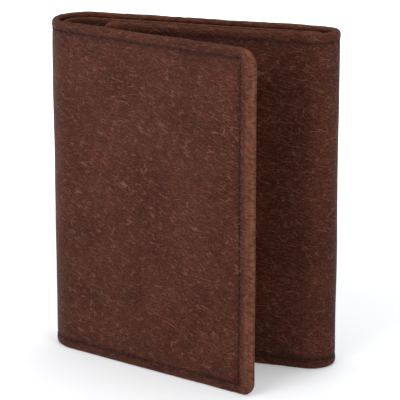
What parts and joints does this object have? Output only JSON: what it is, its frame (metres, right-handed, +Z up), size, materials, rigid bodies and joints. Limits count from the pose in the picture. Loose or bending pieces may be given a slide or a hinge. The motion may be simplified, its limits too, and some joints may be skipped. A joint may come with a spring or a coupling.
{
  "type": "trifold wallet",
  "caption": "Upright trifold leather wallet: back panel with bill compartment, and two flaps with card pockets and an identity window that fold over it.",
  "frame": {"origin": "under the middle of the wallet's overall box, on the surface that its lower edges stand on", "axes": "+Z up along the folds, +X along the back panel from the front fold to the inner fold, +Y towards the back panel's outer face, so the front flap is on the -Y side"},
  "size_m": [0.0882, 0.044, 0.102],
  "materials": {
    "cover_leather": "semi-matt reddish-brown pebbled leather with tan crease lines",
    "inside_leather": "semi-matt brown leather, finer grain",
    "lining_fabric": "dark brown woven lining",
    "window_film": "clear flexible film"
  },
  "bodies": {
    "back_panel": {"back_cover": "cover_leather", "bill_panel": "inside_leather", "bill_lining": "lining_fabric", "centre_pocket_top": "inside_leather", "centre_pocket_middle": "inside_leather", "centre_pocket_bottom": "inside_leather"},
    "front_strip_1": {"front_fold_cover_1": "cover_leather", "front_fold_panel_1": "inside_leather"},
    "front_strip_2": {"front_fold_cover_2": "cover_leather", "front_fold_panel_2": "inside_leather"},
    "front_strip_3": {"front_fold_cover_3": "cover_leather", "front_fold_panel_3": "inside_leather"},
    "front_flap": {"front_flap_cover": "cover_leather", "front_flap_lining": "lining_fabric", "front_flap_panel": "inside_leather", "window_film": "window_film", "window_frame": "inside_leather"},
    "inner_strip": {"inner_fold_cover": "cover_leather", "inner_fold_panel": "inside_leather"},
    "inner_flap": {"inner_flap_cover": "cover_leather", "inner_flap_lining": "lining_fabric", "inner_flap_panel": "inside_leather", "inner_pocket_top": "inside_leather", "inner_pocket_middle": "inside_leather", "inner_pocket_bottom": "inside_leather"}
  },
  "joints": [
    {"name": "front_fold_1", "type": "hinge", "parent": "back_panel", "child": "front_strip_1", "pos_m": [-0.03808, 0.02077, 0.051], "axis": [0, 0, -1], "range_deg": [0, 53.8]},
    {"name": "front_fold_2", "type": "hinge", "parent": "front_strip_1", "child": "front_strip_2", "pos_m": [-0.04396, 0.01273, 0.051], "axis": [0, 0, -1], "range_deg": [0, 53.8]},
    {"name": "front_fold_3", "type": "hinge", "parent": "front_strip_2", "child": "front_strip_3", "pos_m": [-0.04095, 0.00325, 0.051], "axis": [0, 0, -1], "range_deg": [0, 53.8]},
    {"name": "front_flap_press", "type": "hinge", "parent": "front_strip_3", "child": "front_flap", "pos_m": [-0.03661, 0.00053, 0.051], "axis": [0, 0, -1], "range_deg": [-16, 0]},
    {"name": "inner_fold_1", "type": "hinge", "parent": "back_panel", "child": "inner_strip", "pos_m": [0.04193, 0.01984, 0.051], "axis": [0, 0, 1], "range_deg": [0, 52.45]},
    {"name": "inner_fold_2", "type": "hinge", "parent": "inner_strip", "child": "inner_flap", "pos_m": [0.04204, 0.00958, 0.051], "axis": [0, 0, 1], "range_deg": [0, 52.45]}
  ],
  "couplings": [
    {"joint": "front_fold_2", "follows": "front_fold_1", "ratio": 1},
    {"joint": "front_fold_3", "follows": "front_fold_1", "ratio": 1},
    {"joint": "inner_fold_1", "follows": "front_fold_1", "ratio": 0.975},
    {"joint": "inner_fold_2", "follows": "front_fold_1", "ratio": 0.975}
  ]
}
